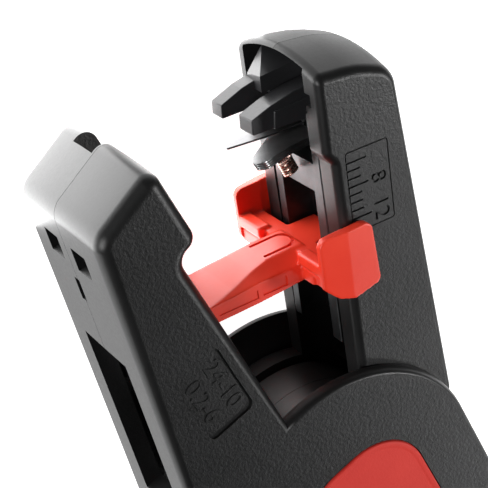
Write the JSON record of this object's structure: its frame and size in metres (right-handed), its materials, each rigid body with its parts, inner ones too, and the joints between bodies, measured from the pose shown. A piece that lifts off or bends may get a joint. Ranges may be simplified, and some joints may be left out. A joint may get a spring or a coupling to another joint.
{
  "type": "wire stripper",
  "caption": "Self-adjusting wire stripper: fixed lever, hinged moving jaw, trigger handle, clamp inserts, blades and a sliding length stop.",
  "frame": {"origin": "on the jaws' pivot axis, in the plane of the back inlay's flat face, on which the tool lies", "axes": "+Z along the pivot axis, out of the front; +Y towards the fixed jaw's nose, the handle runs to -Y; the trigger spreads to -X"},
  "size_m": [0.1272, 0.1864, 0.0205],
  "materials": {
    "black_plastic": "spark-textured black moulding",
    "clamp_plastic": "smooth black clamp insert",
    "red_plastic": "red moulding",
    "inlay_red": "red soft insert",
    "blade_steel": "ground blade steel",
    "dark_steel": "blackened steel",
    "bright_steel": "turned steel",
    "spring_wire": "copper-coloured spring wire"
  },
  "bodies": {
    "fixed_lever": {"body_front_half": "black_plastic", "body_back_half": "black_plastic", "front_inlay": "inlay_red", "back_inlay": "inlay_red", "fixed_grip_insert": "clamp_plastic", "pivot_pin": "bright_steel", "pivot_bush": "dark_steel", "return_spring": "bright_steel", "body_screw_1": "dark_steel", "body_screw_2": "dark_steel", "body_screw_3": "dark_steel"},
    "fixed_carriage": {"fixed_draw_bar": "dark_steel", "fixed_blade": "blade_steel"},
    "moving_jaw": {"jaw_front_half": "black_plastic", "jaw_back_half": "black_plastic", "moving_grip_insert": "clamp_plastic", "jaw_screw_1": "dark_steel", "jaw_screw_2": "dark_steel"},
    "moving_carriage": {"draw_bar": "dark_steel", "back_blade": "blade_steel", "blade_plate_1": "blade_steel", "blade_plate_2": "blade_steel", "blade_plate_3": "blade_steel", "blade_plate_4": "blade_steel", "blade_spring": "spring_wire"},
    "stop": {"length_stop": "red_plastic"},
    "trigger": {"trigger_front_half": "black_plastic", "trigger_back_half": "black_plastic", "trigger_core": "bright_steel", "trigger_front_inlay": "inlay_red", "trigger_back_inlay": "inlay_red", "trigger_screw_1": "dark_steel", "trigger_screw_2": "dark_steel", "trigger_screw_3": "dark_steel"}
  },
  "joints": [
    {"name": "trigger_squeeze", "type": "hinge", "parent": "fixed_lever", "child": "trigger", "pos_m": [0, 0, 0.01025], "axis": [0, 0, 1], "range_deg": [0, 28], "stiffness_Nm_per_rad": 1, "springref_deg": -17.19},
    {"name": "jaw_close", "type": "hinge", "parent": "fixed_lever", "child": "moving_jaw", "pos_m": [0, 0, 0.01025], "axis": [0, 0, 1], "range_deg": [0, 20.1]},
    {"name": "moving_draw", "type": "slide", "parent": "moving_jaw", "child": "moving_carriage", "axis": [-0.3469, -0.9379, 0], "range_m": [0, 0.00705]},
    {"name": "fixed_draw", "type": "slide", "parent": "fixed_lever", "child": "fixed_carriage", "axis": [0, -1, 0], "range_m": [0, 0.00705]},
    {"name": "stop_adjust", "type": "slide", "parent": "moving_carriage", "child": "stop", "axis": [0.3469, 0.9379, 0], "range_m": [0, 0.0065]}
  ],
  "couplings": [
    {"joint": "jaw_close", "follows": "trigger_squeeze", "ratio": 0.71429},
    {"joint": "moving_draw", "follows": "trigger_squeeze", "m_per_rad": 0.014324},
    {"joint": "fixed_draw", "follows": "trigger_squeeze", "m_per_rad": 0.014324}
  ]
}
